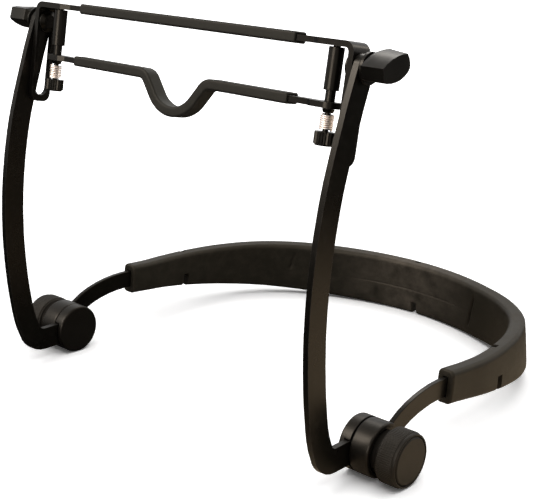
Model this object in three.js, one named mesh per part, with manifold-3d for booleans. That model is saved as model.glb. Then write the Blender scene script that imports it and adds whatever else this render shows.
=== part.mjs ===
// Neck-worn harmonica holder, in millimetres, +Z up.
// Drawn with the lower joints' axis above y = 0, then moved so that the origin is on the floor,
// below the middle of the whole holder.
// +X is the holder's left-to-right width, -Y is the audience side, +Y is the neck side.
import * as THREE from 'three';
import { mergeVertices } from 'three/addons/utils/BufferGeometryUtils.js';
import Module from 'manifold-3d';

const wasm = await Module();
wasm.setup();

// Clearances
const GAP = 0.3; // between pieces that touch or nearly touch
const RUN_FIT = 0.1; // radial clearance where one piece turns on another
const SLEEVE_FIT = 0.2; // between a jaw bar and its rubber sleeve
const CUT_OVERRUN = 5; // how far a cutting body runs past the face that it cuts

// Lower joints, stacked outwards from the arm on a common axis along X
const HUB_R = 10.6;
const HUB_EDGE_R = 0.9;
const CAP_WALL = 2.2;
const CAP_RIM = 1.6;
const WASHER_R = 7;
const WASHER_T = 0.8;
const BAND_HUB_T = 8.4;
const BAND_HUB_FLOOR_T = 4.9; // from the friction washer's side to the recess for the strip's eye
const RING_GAP = 2.6; // open ring between the band hub and the knob's grip
const JOINT_BOLT_R = 2.5;
const JOINT_BOLT_HEAD_R = 5;
const JOINT_BOLT_HEAD_T = 0.9;
const JOINT_KNOB_T = 8.7;
const JOINT_KNOB_BOSS_R = 8; // the part that presses on the strip's eye
const JOINT_KNOB_COLLAR_T = 0.6;
const JOINT_KNOB_COLLAR_R = 9.9;
const JOINT_KNOB_RIM_T = 1.3;
const JOINT_KNOB_RIM_R = 10.2;
const KNURL_DEPTH = 0.35;
const BADGE_R = 9.1;
const BADGE_PROUD = 0.2;
const INSERT_R = 4.3; // from the axis to a corner of the brass hexagon
const INSERT_T = 8;
const BOLT_TIP_ROOM = 0.6;

// Arms: flat bars on edge, one in each side plane
const ARM_INNER = 80.2; // half the distance between the arms' inner faces
const ARM_T = 2.3;
const ARM_W = 9;
const ARM_RISE = 136.8; // from the joint axis to the slot bolt
const ARM_BOW = 31.4; // how far the bar's middle reaches forward of the joint axis
const ARM_END_W = 9.7; // width of the hooked lower end
const ARM_ELBOW_R = 7.5; // centre-line radius of the hook
const ARM_END_DROP = 0.55; // the hooked end enters the hub this far below its axis
const ARM_ELBOW_BOW_SHARE = 0.554;
const ARM_ELBOW_START_DEG = 196;
// Each row: share of the bow, share of the rise, from the slot bolt down to the elbow
const ARM_LINE_SHARES = [
  [0.42, 1],
  [0.612, 0.88],
  [0.838, 0.709],
  [0.966, 0.537],
  [1, 0.376],
  [0.962, 0.227],
  [0.872, 0.094],
];

// Neck band: a flat strip on edge from eye to eye, round the back of the neck
const STRIP_T = 2;
const STRIP_W = 7.9;
const EYE_R = 8.7;
const BAND_DEPTH = 155;
const BAND_REAR_LIFT = 13.6; // height of the band's centre line at the back, where the pad stands on the table
const BAND_PEAK_RISE = 9.3; // how much higher it is just behind the joints
// Each row: share of the eyes' distance from the middle, share of the depth, share of the rise
const BAND_LINE_SHARES = [
  [0, 1, 0],
  [0.249, 0.981, 0.03],
  [0.484, 0.933, 0.09],
  [0.691, 0.868, 0.17],
  [0.853, 0.775, 0.29],
  [0.954, 0.652, 0.46],
  [1.002, 0.525, 0.63],
  [1.015, 0.419, 0.76],
  [1.007, 0.335, 0.87],
  [1.001, 0.271, 0.97],
  [1, 0.219, 1],
  [1, 0.181, 0.96],
  [1, 0.129, 0.81],
  [1, 0.077, 0.51],
];

// Neck pad: a rubber sleeve moulded round the strip
const PAD_T = 7;
const PAD_REAR_H = 27;
const PAD_END_H = 13.8;
const PAD_CORNER_R = 2.2;
const PAD_LEAN_DEG = 8; // the pad leans in towards the neck at the top, most at the back
const PAD_TUNNEL_FIT = 0.3;
const PAD_END_SHARE = 0.795; // of half the band's length
const TUNNEL_OVER_SHARE = 0.015; // the tunnel's cut runs this much past the pad's ends
const PAD_SLOT_SHARE = 0.62;
const PAD_SLOT_W = 2;
const PAD_SLOT_H = 5.4;
const PAD_NICK_H = 0.9;
const PAD_NICK_W = 3;

// Slot bolts and wing knobs at the arm tops
const SLOT_BOLT_R = 2.5;
const SLOT_BOLT_HEAD_R = 4.3;
const SLOT_BOLT_HEAD_T = 1.5;
const DOME_RIM_SHARE = 0.4; // of the head's thickness, its straight rim
const DOME_TOP_SHARE = 0.62; // of the head's radius, its flat top
const SLOT_BOLT_NECK = 5.4; // side of the square neck
const SLOT_BOLT_NECK_EDGE = 1.2; // chamfer of its corners
const WING_BOSS_R = 4;
const WING_BOSS_T = 0.5;
const WING_BASE_R = 5.3;
const WING_BASE_T = 1;
const WING_REACH = 11.3; // from the arm's outer face to the wing's end
const WING_HALF_L = 7.7;
const WING_INSERT_T = 4.4;
const WING_INSERT_R = 3.6;
const LEFT_WING_TURN_DEG = -30; // the left knob rests at its own angle
// Along the knob, from its base to its tip: share of the way, share of the wing's size, share of
// the height of its crown
const WING_SWELL_SHARES = [
  [0, 0.72, 1],
  [0.12, 0.97, 1.08],
  [0.3, 1, 1.15],
  [0.55, 1, 1.09],
  [1, 1, 1],
];
const WING_CROWN_SHARE = 0.45; // points of the section above this belong to the crown
// The wing's section as shares of its half length: one flat flank, the other side rounded
const WING_SECTION_SHARES = [
  [-0.9, 0.21],
  [-0.64, 0.38],
  [-0.3, 0.53],
  [0.06, 0.63],
  [0.45, 0.69],
  [0.76, 0.69],
  [0.91, 0.5],
  [0.99, 0.27],
  [0.99, 0.07],
  [0.87, -0.08],
  [0.66, -0.23],
  [0.34, -0.37],
  [0.03, -0.43],
  [-0.29, -0.45],
  [-0.62, -0.42],
  [-0.77, -0.36],
];

// Clamp: drawn upright about the slot bolt's axis, then tilted
const CLAMP_TILT_DEG = -8.5;
const JAW_T = 2.1; // thickness of both flat strips
const JAW_BAR_W = 4.8;
const LEG_W = 9.2;
const LEG_L = 38.8; // from the bar's centre to the leg's end
const LEG_CORNER_R = 3.2;
const LEG_SLOT_W = 6;
const LEG_SLOT_RAIL = 2.5; // metal left below the slot
const LEG_SLOT_OVER = 1.5; // straight part of the slot above the bolt's axis
const BAR_ABOVE_BOLT = 6.65;
const FRAME_BEND_R = 3.6;
const SLEEVE_INSET = 15.6; // from a guide post's axis to the end of a rubber sleeve
const SLEEVE_W = 6.4;
const SLEEVE_H = 3.9;
const SLEEVE_EDGE = 0.5;
const NECKING_L = 3.5; // length of the taper from the wide end to the narrow bar

// Guide posts, screws and springs
const POST_INSET = 10.5; // from an arm's inner face to the guide post's axis
const POST_R = 2.65;
const POST_L = 14;
const POST_GUIDE_L = 5.4; // depth of the wide bore that the jaw's bush slides in
const POST_THREAD_L = 3.6; // depth of the screw's bore above it
const TENON_R = 1.2;
const BUSH_R = 1.75;
const BUSH_IN_POST_L = 1.6; // how far the bush reaches into the post
const BUSH_COLLAR_R = 2.2;
const BUSH_COLLAR_T = 1.2; // its collar tapers down to the spring below the jaw
const SCREW_R = 1;
const SCREW_HEAD_R = 3.6;
const SCREW_HEAD_L = 4.6;
const SCREW_HEAD_EDGE = 0.5;
const SPRING_R = 1.66; // to the wire's centre
const SPRING_WIRE = 0.42;
const SPRING_TURNS = 5.2;
const SPRING_L = 5.6;

// Lower jaw
const JAW_DROP = 20.1; // between the two jaw strips' centre planes
const EYE_END_R = 4;
const DIP_DEPTH = 12.1;
const DIP_SLOPE_DEG = 52;
const DIP_SHOULDER_R = 5;
const DIP_BOTTOM_R = 13;

// Facets
const ROUND_STEPS = 48;
const SMALL_STEPS = 24;
const WIRE_SIDES = 5;
const WIRE_STEPS_PER_TURN = 8;
const EYE_POINTS = 3; // how many of the line's last points lie at the eye
const KNURL_TEETH = 38;
const SCREW_KNURL_TEETH = 22;
const ARM_STEPS = 32;
const BAND_STEPS = 52;
const STRIP_STEPS = 88;
const EDGE_STEPS = 2;
const ARC_STEPS = 6;

// Places that follow from the sizes
const JOINT_Z = HUB_R;
const ARM_OUTER = ARM_INNER + ARM_T;
const CAP_INNER = ARM_INNER - GAP - CAP_WALL;
const BAND_HUB_INNER = ARM_OUTER + GAP;
const BAND_HUB_OUTER = BAND_HUB_INNER + BAND_HUB_T;
const EYE_FLOOR = BAND_HUB_INNER + BAND_HUB_FLOOR_T;
const EYE_INNER = EYE_FLOOR + GAP;
const EYE_OUTER = EYE_INNER + STRIP_T;
const KNOB_INNER = EYE_OUTER + GAP;
const KNOB_COLLAR = BAND_HUB_OUTER + RING_GAP;
const KNOB_OUTER = KNOB_COLLAR + JOINT_KNOB_T;
const KNOB_FLOOR = KNOB_OUTER - JOINT_KNOB_RIM_T;
const INSERT_INNER = KNOB_INNER + GAP;
const BOLT_TIP = INSERT_INNER + INSERT_T;
const ARM_EYE_R = HUB_R - CAP_RIM - GAP;
const BOLT_Y = -ARM_BOW * ARM_LINE_SHARES[0][0];
const BOLT_Z = JOINT_Z + ARM_RISE;
const LEG_OUTER = ARM_INNER - GAP;
const LEG_INNER = LEG_OUTER - JAW_T;
const POST_X = ARM_INNER - POST_INSET;
const SLEEVE_HALF_L = POST_X - SLEEVE_INSET;
const WING_TIP = ARM_OUTER + WING_REACH;
const CLAMP_TILT = THREE.MathUtils.degToRad(CLAMP_TILT_DEG);
// Heights in the clamp's own frame, whose origin is on the slot bolt's axis
const BAR_Z = BAR_ABOVE_BOLT;
const BAR_UNDERSIDE_Z = BAR_Z - JAW_T / 2;
const POST_TOP_Z = BAR_UNDERSIDE_Z - GAP;
const POST_FOOT_Z = POST_TOP_Z - POST_L;
const JAW_Z = BAR_Z - JAW_DROP;
const BUSH_COLLAR_TOP_Z = JAW_Z - JAW_T / 2 - GAP;
const BUSH_FOOT_Z = BUSH_COLLAR_TOP_Z - BUSH_COLLAR_T;
const SPRING_TOP_Z = BUSH_FOOT_Z - GAP;
const SCREW_HEAD_TOP_Z = SPRING_TOP_Z - SPRING_L - GAP;

const blackMetal = new THREE.MeshStandardMaterial({ color: 0x161412, roughness: 0.45, metalness: 0.4 });
const blackPlastic = new THREE.MeshStandardMaterial({ color: 0x1a1816, roughness: 0.6, metalness: 0 });
const padRubber = new THREE.MeshStandardMaterial({ color: 0x231f1c, roughness: 0.75, metalness: 0 });
const sleeveRubber = new THREE.MeshStandardMaterial({ color: 0x3a3a37, roughness: 0.7, metalness: 0 });
const nickel = new THREE.MeshStandardMaterial({ color: 0xc9c4bb, roughness: 0.25, metalness: 1 });
const brass = new THREE.MeshStandardMaterial({ color: 0xb08d57, roughness: 0.35, metalness: 1 });
const nylon = new THREE.MeshStandardMaterial({ color: 0x2b2a28, roughness: 0.5, metalness: 0 });

// Six times the volume that a triangle list encloses; negative when its faces point inwards
function signedVolume(positions, index) {
  const corners = [new THREE.Vector3(), new THREE.Vector3(), new THREE.Vector3()];
  let sum = 0;
  for (let i = 0; i < index.length; i += 3) {
    corners.forEach((corner, k) => corner.fromArray(positions, index[i + k] * 3));
    sum += corners[0].dot(corners[1].clone().cross(corners[2]));
  }
  return sum;
}

// A solid from a closed geometry, with its faces turned outwards
function solidOf(geometry) {
  const bare = new THREE.BufferGeometry();
  bare.setAttribute('position', geometry.getAttribute('position'));
  if (geometry.index) bare.setIndex(geometry.index);
  const merged = mergeVertices(bare, 1e-4);
  const vertProperties = Float32Array.from(merged.getAttribute('position').array);
  const triVerts = Uint32Array.from(merged.index.array);
  if (signedVolume(vertProperties, triVerts) < 0) {
    for (let i = 0; i < triVerts.length; i += 3) {
      [triVerts[i], triVerts[i + 1]] = [triVerts[i + 1], triVerts[i]];
    }
  }
  return new wasm.Manifold(new wasm.Mesh({ numProp: 3, vertProperties, triVerts }));
}

function geometryOf(solid) {
  const { vertProperties, triVerts } = solid.getMesh();
  const geometry = new THREE.BufferGeometry();
  geometry.setAttribute('position', new THREE.BufferAttribute(Float32Array.from(vertProperties), 3));
  geometry.setIndex(Array.from(triVerts));
  geometry.computeVertexNormals();
  return geometry;
}

function cut(body, ...tools) {
  return tools.reduce((left, tool) => left.subtract(solidOf(tool)), solidOf(body));
}

function cutSolid(solid, ...tools) {
  return tools.reduce((left, tool) => left.subtract(solidOf(tool)), solid);
}

// A geometry's mirror image in the holder's middle plane
function mirrored(geometry) {
  const copy = geometry.clone().scale(-1, 1, 1);
  return geometryOf(solidOf(copy));
}

// A profile of [radius, x] points turned about the X axis
function turned(profile, steps = ROUND_STEPS) {
  const points = profile.map(([radius, x]) => new THREE.Vector2(radius, x));
  return new THREE.LatheGeometry(points, steps).rotateZ(-Math.PI / 2);
}

// A profile of [radius, z] points turned about the Z axis
function turnedUpright(profile, steps = SMALL_STEPS) {
  const points = profile.map(([radius, z]) => new THREE.Vector2(radius, z));
  return new THREE.LatheGeometry(points, steps).rotateX(Math.PI / 2);
}

function disc(radius, from, to, steps = ROUND_STEPS) {
  return turned([[0, from], [radius, from], [radius, to], [0, to]], steps);
}

function ring(outerR, innerR, from, to, steps = ROUND_STEPS) {
  return turned([[innerR, from], [outerR, from], [outerR, to], [innerR, to], [innerR, from]], steps);
}

function uprightDisc(radius, from, to, steps = SMALL_STEPS) {
  return turnedUpright([[0, from], [radius, from], [radius, to], [0, to]], steps);
}

function extruded(shape, depth) {
  return new THREE.ExtrudeGeometry(shape, { depth, bevelEnabled: false, curveSegments: ARC_STEPS });
}

// A shape drawn in (y, z) and run along X
function prismX(shape, from, to) {
  const basis = new THREE.Matrix4().makeBasis(
    new THREE.Vector3(0, 1, 0), new THREE.Vector3(0, 0, 1), new THREE.Vector3(1, 0, 0));
  return extruded(shape, to - from).applyMatrix4(basis).translate(from, 0, 0);
}

// A shape drawn in (x, z) and run along Y, centred on the middle plane of the piece
function prismY(shape, width, bevel = 0) {
  const basis = new THREE.Matrix4().makeBasis(
    new THREE.Vector3(1, 0, 0), new THREE.Vector3(0, 0, 1), new THREE.Vector3(0, -1, 0));
  const options = { depth: width - bevel * 2, bevelEnabled: bevel > 0, curveSegments: ARC_STEPS };
  Object.assign(options, { bevelThickness: bevel, bevelSize: bevel, bevelOffset: -bevel, bevelSegments: 1 });
  return new THREE.ExtrudeGeometry(shape, options).translate(0, 0, bevel - width / 2).applyMatrix4(basis);
}

function polygon(points) {
  return new THREE.Shape(points.map(([x, y]) => new THREE.Vector2(x, y)));
}

function box(sizeX, sizeY, sizeZ, x, y, z) {
  return new THREE.BoxGeometry(sizeX, sizeY, sizeZ).translate(x, y, z);
}

// A hexagonal bar along the X axis
function hexPrism(cornerR, from, to) {
  return disc(cornerR, from, to, 6);
}

// Points of an arc about [cx, cy], angles in radians
function arc(cx, cy, radius, start, end, steps = ARC_STEPS) {
  return Array.from({ length: steps + 1 }, (_, k) => {
    const angle = start + ((end - start) * k) / steps;
    return [cx + radius * Math.cos(angle), cy + radius * Math.sin(angle)];
  });
}

// The two edges of a strip about a centre line of 2D points; its width may grow along the line
function stripOutline(line, startWidth, endWidth = startWidth) {
  const sides = [[], []];
  line.forEach((point, k) => {
    const width = THREE.MathUtils.lerp(startWidth, endWidth, k / (line.length - 1));
    const before = line[Math.max(k - 1, 0)];
    const after = line[Math.min(k + 1, line.length - 1)];
    const run = [after[0] - before[0], after[1] - before[1]];
    const length = Math.hypot(...run);
    const normal = [-run[1] / length, run[0] / length];
    sides[0].push([point[0] + (normal[0] * width) / 2, point[1] + (normal[1] * width) / 2]);
    sides[1].unshift([point[0] - (normal[0] * width) / 2, point[1] - (normal[1] * width) / 2]);
  });
  return polygon([...sides[0], ...sides[1]]);
}

// Arm

function armLine() {
  const elbowZ = JOINT_Z - ARM_END_DROP + ARM_ELBOW_R;
  const elbowY = -ARM_BOW * ARM_ELBOW_BOW_SHARE;
  const start = THREE.MathUtils.degToRad(ARM_ELBOW_START_DEG);
  const elbow = arc(elbowY, elbowZ, ARM_ELBOW_R, start, Math.PI * 1.5);
  const bar = ARM_LINE_SHARES.map(([bow, rise]) => [-ARM_BOW * bow, JOINT_Z + ARM_RISE * rise]);
  const curve = new THREE.SplineCurve([...bar, elbow[0]].map(([y, z]) => new THREE.Vector2(y, z)));
  const upper = curve.getSpacedPoints(ARM_STEPS).map((point) => [point.x, point.y]);
  return [...upper.slice(0, -1), ...elbow, [0, elbow[elbow.length - 1][1]]];
}

// The arm's side view, with that much more on each edge
function armOutline(margin) {
  return stripOutline(armLine(), ARM_W + margin * 2, ARM_END_W + margin * 2);
}

function armGeometry() {
  const top = disc(ARM_W / 2, ARM_INNER, ARM_OUTER, SMALL_STEPS).translate(0, BOLT_Y, BOLT_Z);
  const eye = disc(ARM_EYE_R, ARM_INNER, ARM_OUTER).translate(0, 0, JOINT_Z);
  const bar = solidOf(prismX(armOutline(0), ARM_INNER, ARM_OUTER));
  const blank = bar.add(solidOf(top)).add(solidOf(eye));
  const past = ARM_OUTER + CUT_OVERRUN;
  const before = ARM_INNER - CUT_OVERRUN;
  const headSeat = ARM_INNER + JOINT_BOLT_HEAD_T + GAP;
  return geometryOf(cutSolid(
    blank,
    disc(SLOT_BOLT_R + RUN_FIT, before, past, SMALL_STEPS).translate(0, BOLT_Y, BOLT_Z),
    disc(JOINT_BOLT_R + RUN_FIT, before, past, SMALL_STEPS).translate(0, 0, JOINT_Z),
    disc(JOINT_BOLT_HEAD_R + GAP, before, headSeat).translate(0, 0, JOINT_Z),
  ));
}

// Lower joint

function armHubCapGeometry() {
  const edge = arc(HUB_R - HUB_EDGE_R, CAP_INNER + HUB_EDGE_R, HUB_EDGE_R, -Math.PI / 2, 0, EDGE_STEPS);
  const body = turned([[0, CAP_INNER], ...edge, [HUB_R, ARM_OUTER], [0, ARM_OUTER]]);
  const past = ARM_OUTER + CUT_OVERRUN;
  const hollow = disc(ARM_EYE_R + GAP, CAP_INNER + CAP_WALL, past);
  const notch = prismX(armOutline(GAP), CAP_INNER + CAP_WALL, past);
  return geometryOf(cut(body.translate(0, 0, JOINT_Z), hollow.translate(0, 0, JOINT_Z), notch));
}

function frictionWasherGeometry() {
  const from = BAND_HUB_INNER;
  return ring(WASHER_R, JOINT_BOLT_R + GAP, from, from + WASHER_T, SMALL_STEPS).translate(0, 0, JOINT_Z);
}

function bandHubGeometry() {
  const bore = JOINT_BOLT_R + GAP;
  const washerSeatR = WASHER_R + GAP;
  const washerSeatX = BAND_HUB_INNER + WASHER_T + GAP;
  const eyeSeatR = EYE_R + GAP;
  const edge = HUB_EDGE_R;
  const innerEdge = arc(HUB_R - edge, BAND_HUB_INNER + edge, edge, -Math.PI / 2, 0, EDGE_STEPS);
  const outerEdge = arc(HUB_R - edge, BAND_HUB_OUTER - edge, edge, 0, Math.PI / 2, EDGE_STEPS);
  const body = turned([
    [washerSeatR, BAND_HUB_INNER],
    ...innerEdge,
    ...outerEdge,
    [eyeSeatR, BAND_HUB_OUTER],
    [eyeSeatR, EYE_FLOOR],
    [bore, EYE_FLOOR],
    [bore, washerSeatX],
    [washerSeatR, washerSeatX],
    [washerSeatR, BAND_HUB_INNER],
  ]);
  const line = bandHalfLine().slice(-EYE_POINTS).map((point) => [point.y, point.z]);
  const notch = prismX(stripOutline(line, STRIP_W + GAP * 2), EYE_FLOOR, BAND_HUB_OUTER + CUT_OVERRUN);
  return geometryOf(cut(body.translate(0, 0, JOINT_Z), notch));
}

function jointBoltGeometry() {
  const headEnd = ARM_INNER + JOINT_BOLT_HEAD_T;
  const profile = [
    [0, ARM_INNER],
    [JOINT_BOLT_HEAD_R, ARM_INNER],
    [JOINT_BOLT_HEAD_R, headEnd],
    [JOINT_BOLT_R, headEnd],
    [JOINT_BOLT_R, BOLT_TIP],
    [0, BOLT_TIP],
  ];
  return turned(profile, SMALL_STEPS).translate(0, 0, JOINT_Z);
}

// A round bar whose side carries straight knurling
function knurledOutline(radius, teeth) {
  const points = Array.from({ length: teeth * 2 }, (_, k) => {
    const angle = (Math.PI * k) / teeth;
    const r = radius - (k % 2) * KNURL_DEPTH;
    return [r * Math.cos(angle), r * Math.sin(angle)];
  });
  return polygon(points);
}

function jointKnobGeometry() {
  const knurlFrom = KNOB_COLLAR + JOINT_KNOB_COLLAR_T;
  const grip = solidOf(prismX(knurledOutline(HUB_R, KNURL_TEETH), knurlFrom, KNOB_FLOOR));
  const boss = solidOf(disc(JOINT_KNOB_BOSS_R, KNOB_INNER, KNOB_FLOOR));
  const collar = solidOf(disc(JOINT_KNOB_COLLAR_R, KNOB_COLLAR, KNOB_FLOOR));
  const rim = solidOf(disc(JOINT_KNOB_RIM_R, knurlFrom, KNOB_OUTER));
  const past = KNOB_OUTER + CUT_OVERRUN;
  const before = KNOB_INNER - CUT_OVERRUN;
  const body = cutSolid(
    grip.add(boss).add(collar).add(rim),
    hexPrism(INSERT_R + GAP, before, BOLT_TIP + BOLT_TIP_ROOM),
    disc(BADGE_R + GAP, KNOB_FLOOR, past),
  );
  return geometryOf(body).translate(0, 0, JOINT_Z);
}

function knobInsertGeometry() {
  const body = cut(
    hexPrism(INSERT_R, INSERT_INNER, BOLT_TIP),
    disc(JOINT_BOLT_R + RUN_FIT, INSERT_INNER - CUT_OVERRUN, BOLT_TIP + CUT_OVERRUN, SMALL_STEPS),
  );
  return geometryOf(body).translate(0, 0, JOINT_Z);
}

function knobBadgeGeometry() {
  const edge = BADGE_PROUD + GAP;
  const end = KNOB_OUTER + BADGE_PROUD;
  const from = KNOB_FLOOR + GAP;
  const body = turned([[0, from], [BADGE_R, from], [BADGE_R, end - edge], [BADGE_R - edge, end], [0, end]]);
  return body.translate(0, 0, JOINT_Z);
}

// Neck band

// Half of the band's centre line, from the back to the right joint
function bandHalfLine() {
  const eyeX = (EYE_INNER + EYE_OUTER) / 2;
  const points = BAND_LINE_SHARES.map(([side, depth, rise]) => new THREE.Vector3(
    eyeX * side, BAND_DEPTH * depth, BAND_REAR_LIFT + BAND_PEAK_RISE * rise));
  points.push(new THREE.Vector3(eyeX, 0, JOINT_Z));
  return points;
}

function bandCurve() {
  const half = bandHalfLine();
  const left = half.slice(1).reverse().map((point) => new THREE.Vector3(-point.x, point.y, point.z));
  return new THREE.CatmullRomCurve3([...left, ...half], false, 'centripetal');
}

// Frames along the band: its place, the directions towards the neck and up, and its share from the back
function bandFrames(fromShare, toShare, steps) {
  const curve = bandCurve();
  return Array.from({ length: steps + 1 }, (_, k) => {
    const share = fromShare + ((toShare - fromShare) * k) / steps;
    const u = (share + 1) / 2;
    const place = curve.getPointAt(u);
    const along = curve.getTangentAt(u);
    const level = new THREE.Vector3(0, 0, 1);
    const up = level.addScaledVector(along, -along.z).normalize();
    const inward = up.clone().cross(along).negate().normalize();
    return { place, up, inward, share };
  });
}

// A closed body through rings of points, one after the other
function loft(rings) {
  const count = rings[0].length;
  const positions = rings.flat().flatMap((point) => point.toArray());
  const index = [];
  for (let k = 0; k + 1 < rings.length; k += 1) {
    for (let j = 0; j < count; j += 1) {
      const a = k * count + j;
      const b = k * count + ((j + 1) % count);
      index.push(a, b, b + count, a, b + count, a + count);
    }
  }
  const last = (rings.length - 1) * count;
  for (let j = 1; j + 1 < count; j += 1) {
    index.push(0, j + 1, j, last, last + j, last + j + 1);
  }
  const geometry = new THREE.BufferGeometry();
  geometry.setAttribute('position', new THREE.BufferAttribute(Float32Array.from(positions), 3));
  geometry.setIndex(index);
  return geometry;
}

// A body swept along the band's frames; section(frame) gives [inward, up] points
function sweep(frames, section) {
  return loft(frames.map((frame) => section(frame).map(([near, high]) => frame.place.clone()
    .addScaledVector(frame.inward, near).addScaledVector(frame.up, high))));
}

function stripSection(thick, width) {
  return [[thick / 2, -width / 2], [thick / 2, width / 2], [-thick / 2, width / 2], [-thick / 2, -width / 2]];
}

// How far along from the back (0) to the pad's end (1) a frame is, eased
function padEase(frame) {
  const share = Math.min(Math.abs(frame.share) / PAD_END_SHARE, 1);
  return share * share * (3 - share * 2);
}

function padHeight(frame) {
  return THREE.MathUtils.lerp(PAD_REAR_H, PAD_END_H, padEase(frame));
}

function leaned(points, frame) {
  const lean = THREE.MathUtils.degToRad(PAD_LEAN_DEG) * (1 - padEase(frame) ** 2);
  return points.map(([near, high]) => [
    near * Math.cos(lean) + high * Math.sin(lean), high * Math.cos(lean) - near * Math.sin(lean)]);
}

function padSection(frame) {
  const h = padHeight(frame) / 2 - PAD_CORNER_R;
  const w = PAD_T / 2 - PAD_CORNER_R;
  const corners = [[w, h, 0], [-w, h, 1], [-w, -h, 2], [w, -h, 3]];
  const points = corners.flatMap(([x, y, turn]) => arc(
    x, y, PAD_CORNER_R, (turn * Math.PI) / 2, ((turn + 1) * Math.PI) / 2, EDGE_STEPS));
  return leaned(points, frame);
}

function neckStripGeometry() {
  const frames = bandFrames(-1, 1, STRIP_STEPS);
  const strip = solidOf(sweep(frames, () => stripSection(STRIP_T, STRIP_W)));
  const eyes = [-1, 1].map((side) => solidOf(
    disc(EYE_R, EYE_INNER, EYE_OUTER).translate(0, 0, JOINT_Z).scale(side, 1, 1)));
  const bore = disc(JOINT_BOLT_R + GAP, -KNOB_OUTER, KNOB_OUTER, SMALL_STEPS).translate(0, 0, JOINT_Z);
  return geometryOf(cutSolid(strip.add(eyes[0]).add(eyes[1]), bore));
}

// A block across the band at a share of its length, between two heights of the section
function bandCutter(share, width, low, high) {
  const [frame] = bandFrames(share, share, 1);
  const along = frame.inward.clone().cross(frame.up);
  const basis = new THREE.Matrix4().makeBasis(along, frame.inward, frame.up).setPosition(frame.place);
  const reach = PAD_T + CUT_OVERRUN * 2;
  return box(width, reach, high - low, 0, 0, (high + low) / 2).applyMatrix4(basis);
}

function neckPadGeometry() {
  const frames = bandFrames(-PAD_END_SHARE, PAD_END_SHARE, BAND_STEPS);
  const tunnelEnd = PAD_END_SHARE + TUNNEL_OVER_SHARE;
  const tunnelFrames = bandFrames(-tunnelEnd, tunnelEnd, STRIP_STEPS);
  const tunnel = stripSection(STRIP_T + PAD_TUNNEL_FIT * 2, STRIP_W + PAD_TUNNEL_FIT * 2);
  const slots = [-PAD_SLOT_SHARE, 0, PAD_SLOT_SHARE].flatMap((share) => {
    const half = padHeight({ share }) / 2;
    return [
      bandCutter(share, PAD_SLOT_W, -half - CUT_OVERRUN, -half + PAD_SLOT_H),
      bandCutter(share, PAD_NICK_W, half - PAD_NICK_H, half + CUT_OVERRUN),
    ];
  });
  return geometryOf(cut(sweep(frames, padSection), sweep(tunnelFrames, () => tunnel), ...slots));
}

// Slot bolt and wing knob, about the slot bolt's axis

function slotBoltGeometry() {
  const neckInner = LEG_INNER - GAP;
  const headInner = neckInner - SLOT_BOLT_HEAD_T;
  const tip = ARM_OUTER + WING_INSERT_T + GAP;
  const domeRim = [SLOT_BOLT_HEAD_R, neckInner - SLOT_BOLT_HEAD_T * DOME_RIM_SHARE];
  const domeShoulder = [SLOT_BOLT_HEAD_R * DOME_TOP_SHARE, headInner];
  const profile = [
    [0, headInner],
    domeShoulder,
    domeRim,
    [SLOT_BOLT_HEAD_R, neckInner],
    [SLOT_BOLT_R, neckInner],
    [SLOT_BOLT_R, tip],
    [0, tip],
  ];
  const half = SLOT_BOLT_NECK / 2;
  const flat = half - SLOT_BOLT_NECK_EDGE;
  const corners = [
    [half, -flat], [half, flat], [flat, half], [-flat, half],
    [-half, flat], [-half, -flat], [-flat, -half], [flat, -half],
  ];
  const neck = prismX(polygon(corners), neckInner, LEG_OUTER);
  return geometryOf(solidOf(turned(profile, SMALL_STEPS)).add(solidOf(neck)));
}

function wingKnobGeometry() {
  const from = ARM_OUTER + GAP;
  const bossEnd = from + WING_BOSS_T;
  const baseEnd = bossEnd + WING_BASE_T;
  const wingFrom = baseEnd - WING_BASE_T / 2;
  const rings = WING_SWELL_SHARES.map(([way, size, crown]) => WING_SECTION_SHARES.map(([y, z]) => {
    const rise = z > WING_CROWN_SHARE ? crown : 1;
    const x = THREE.MathUtils.lerp(wingFrom, WING_TIP, way);
    return new THREE.Vector3(x, y * size * WING_HALF_L, z * rise * size * WING_HALF_L);
  }));
  const boss = solidOf(disc(WING_BOSS_R, from, baseEnd, SMALL_STEPS));
  const base = solidOf(disc(WING_BASE_R, bossEnd, baseEnd, ROUND_STEPS / 2));
  const wing = solidOf(loft(rings));
  const pocket = hexPrism(WING_INSERT_R + GAP, from - CUT_OVERRUN, from + WING_INSERT_T + GAP);
  return geometryOf(cutSolid(boss.add(base).add(wing), pocket));
}

function wingInsertGeometry() {
  const from = ARM_OUTER + GAP;
  const to = from + WING_INSERT_T;
  return geometryOf(cut(
    hexPrism(WING_INSERT_R, from, to),
    disc(SLOT_BOLT_R + RUN_FIT, from - CUT_OVERRUN, to + CUT_OVERRUN, SMALL_STEPS),
  ));
}

// Clamp, in its own frame about the slot bolt's axis

function frameOutline() {
  const outerX = LEG_OUTER;
  const innerX = LEG_INNER;
  const topZ = BAR_Z + JAW_T / 2;
  const footZ = BAR_Z - LEG_L;
  const innerR = FRAME_BEND_R - JAW_T;
  const rightOuter = arc(outerX - FRAME_BEND_R, topZ - FRAME_BEND_R, FRAME_BEND_R, 0, Math.PI / 2);
  const leftOuter = arc(FRAME_BEND_R - outerX, topZ - FRAME_BEND_R, FRAME_BEND_R, Math.PI / 2, Math.PI);
  const leftInner = arc(innerR - innerX, BAR_UNDERSIDE_Z - innerR, innerR, Math.PI, Math.PI / 2);
  const rightInner = arc(innerX - innerR, BAR_UNDERSIDE_Z - innerR, innerR, Math.PI / 2, 0);
  return polygon([
    [outerX, footZ], ...rightOuter, ...leftOuter, [-outerX, footZ], [-innerX, footZ],
    ...leftInner, ...rightInner, [innerX, footZ],
  ]);
}

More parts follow.
